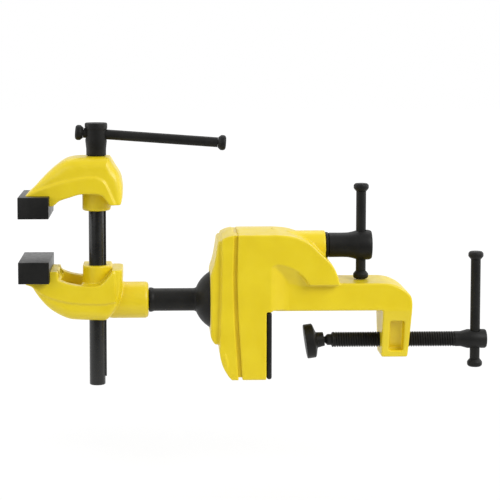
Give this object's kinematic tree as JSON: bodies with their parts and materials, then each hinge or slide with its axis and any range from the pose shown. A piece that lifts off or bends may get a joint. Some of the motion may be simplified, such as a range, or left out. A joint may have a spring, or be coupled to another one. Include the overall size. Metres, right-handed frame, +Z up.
{
  "type": "multi-angle bench vise",
  "caption": "Clamp-on bench vise with a ball joint: jaws with rubber pads on a keyed guide bar turn and tilt on a stem, held by a screw clamp with sliding-bar handles.",
  "frame": {"origin": "On the face of the bench pad, on the axis of the clamp screw.", "axes": "+X runs from the bench pad along the clamp screw to its handle, +Z runs up along the guide bar, and +Y points to the back. The picture looks along +Y."},
  "size_m": [0.3751, 0.064, 0.2109],
  "materials": {
    "cast_yellow": "satin yellow paint on a casting",
    "black_steel": "satin black coated steel",
    "black_rubber": "moulded black rubber",
    "bright_steel": "bare steel",
    "seat_plastic": "pale bearing plastic"
  },
  "bodies": {
    "frame": {"clamp_frame": "cast_yellow", "bench_pad": "black_rubber", "lock_washer": "black_steel", "cover_rocker_pin": "bright_steel"},
    "cover": {"front_cover": "cast_yellow", "lock_nut": "bright_steel"},
    "lock_screw": {"lock_screw": "black_steel"},
    "lock_handle": {"lock_handle": "black_steel", "lock_handle_knob_start": "black_steel", "lock_handle_knob_end": "black_steel"},
    "seat": {"ball_seat": "seat_plastic"},
    "ball": {"ball_stud": "black_steel"},
    "lower_head": {"lower_jaw": "cast_yellow", "lower_jaw_pad": "black_rubber", "lower_pad_screw_near": "black_steel", "lower_pad_screw_far": "black_steel", "spindle_nut": "bright_steel", "nut_grub_screw": "black_steel", "stem_pin": "bright_steel"},
    "upper_head": {"upper_jaw": "cast_yellow", "upper_jaw_pad": "black_rubber", "upper_pad_screw_near": "black_steel", "upper_pad_screw_far": "black_steel", "guide_bar": "black_steel", "spindle_pin": "bright_steel", "guide_bar_pin": "bright_steel"},
    "spindle": {"jaw_spindle": "black_steel"},
    "jaw_handle": {"jaw_handle": "black_steel", "jaw_handle_knob_start": "black_steel", "jaw_handle_knob_end": "black_steel"},
    "thrust": {"thrust_ball": "bright_steel"},
    "clamp_screw": {"clamp_screw": "black_steel"},
    "clamp_handle": {"clamp_handle": "black_steel", "clamp_handle_knob_start": "black_steel", "clamp_handle_knob_end": "black_steel"},
    "shoe": {"clamp_shoe": "black_steel"}
  },
  "joints": [
    {"name": "lock_screw_turn", "type": "hinge", "parent": "frame", "child": "lock_screw", "pos_m": [0.0734, 0, 0.0771], "axis": [1, 0, 0], "range_deg": [0, 120]},
    {"name": "cover_rock", "type": "hinge", "parent": "frame", "child": "cover", "pos_m": [-0.0258, 0, -0.017], "axis": [0, 1, 0], "range_deg": [-0.35, 0]},
    {"name": "lock_handle_slide", "type": "slide", "parent": "lock_screw", "child": "lock_handle", "axis": [0, 0, 1], "range_m": [0, 0.0085]},
    {"name": "ball_turn", "type": "hinge", "parent": "frame", "child": "seat", "pos_m": [-0.0353, 0, 0.0335], "axis": [1, 0, 0], "range_deg": [-180, 180]},
    {"name": "ball_tilt", "type": "hinge", "parent": "seat", "child": "ball", "pos_m": [-0.0353, 0, 0.0335], "axis": [0, 1, 0], "range_deg": [-30, 30]},
    {"name": "head_turn", "type": "hinge", "parent": "ball", "child": "lower_head", "pos_m": [-0.1388, 0, 0.0335], "axis": [1, 0, 0], "range_deg": [-180, 180]},
    {"name": "jaw_opening_slide", "type": "slide", "parent": "lower_head", "child": "upper_head", "axis": [0, 0, 1], "range_m": [-0.0335, 0.038]},
    {"name": "spindle_turn", "type": "hinge", "parent": "upper_head", "child": "spindle", "pos_m": [-0.1388, 0, 0.1388], "axis": [0, 0, 1], "range_deg": [-4021, 4561]},
    {"name": "jaw_handle_slide", "type": "slide", "parent": "spindle", "child": "jaw_handle", "axis": [0.9973, 0, -0.0732], "range_m": [-0.0878, 0.0008]},
    {"name": "clamp_slide", "type": "slide", "parent": "frame", "child": "thrust", "axis": [1, 0, 0], "range_m": [-0.0265, 0.036]},
    {"name": "clamp_screw_turn", "type": "hinge", "parent": "thrust", "child": "clamp_screw", "pos_m": [0.1668, 0, 0], "axis": [1, 0, 0], "range_deg": [-4771, 6481]},
    {"name": "clamp_handle_slide", "type": "slide", "parent": "clamp_screw", "child": "clamp_handle", "axis": [0, 0, 1], "range_m": [-0.057, 0.0085]},
    {"name": "shoe_tilt", "type": "hinge", "parent": "thrust", "child": "shoe", "pos_m": [0.04, 0, 0], "axis": [0, 1, 0], "range_deg": [-1.8, 18.2]}
  ],
  "couplings": [
    {"joint": "cover_rock", "follows": "lock_screw_turn", "ratio": -0.00254},
    {"joint": "spindle_turn", "follows": "jaw_opening_slide", "rad_per_m": 2094.4},
    {"joint": "clamp_screw_turn", "follows": "clamp_slide", "rad_per_m": 3141.6}
  ]
}
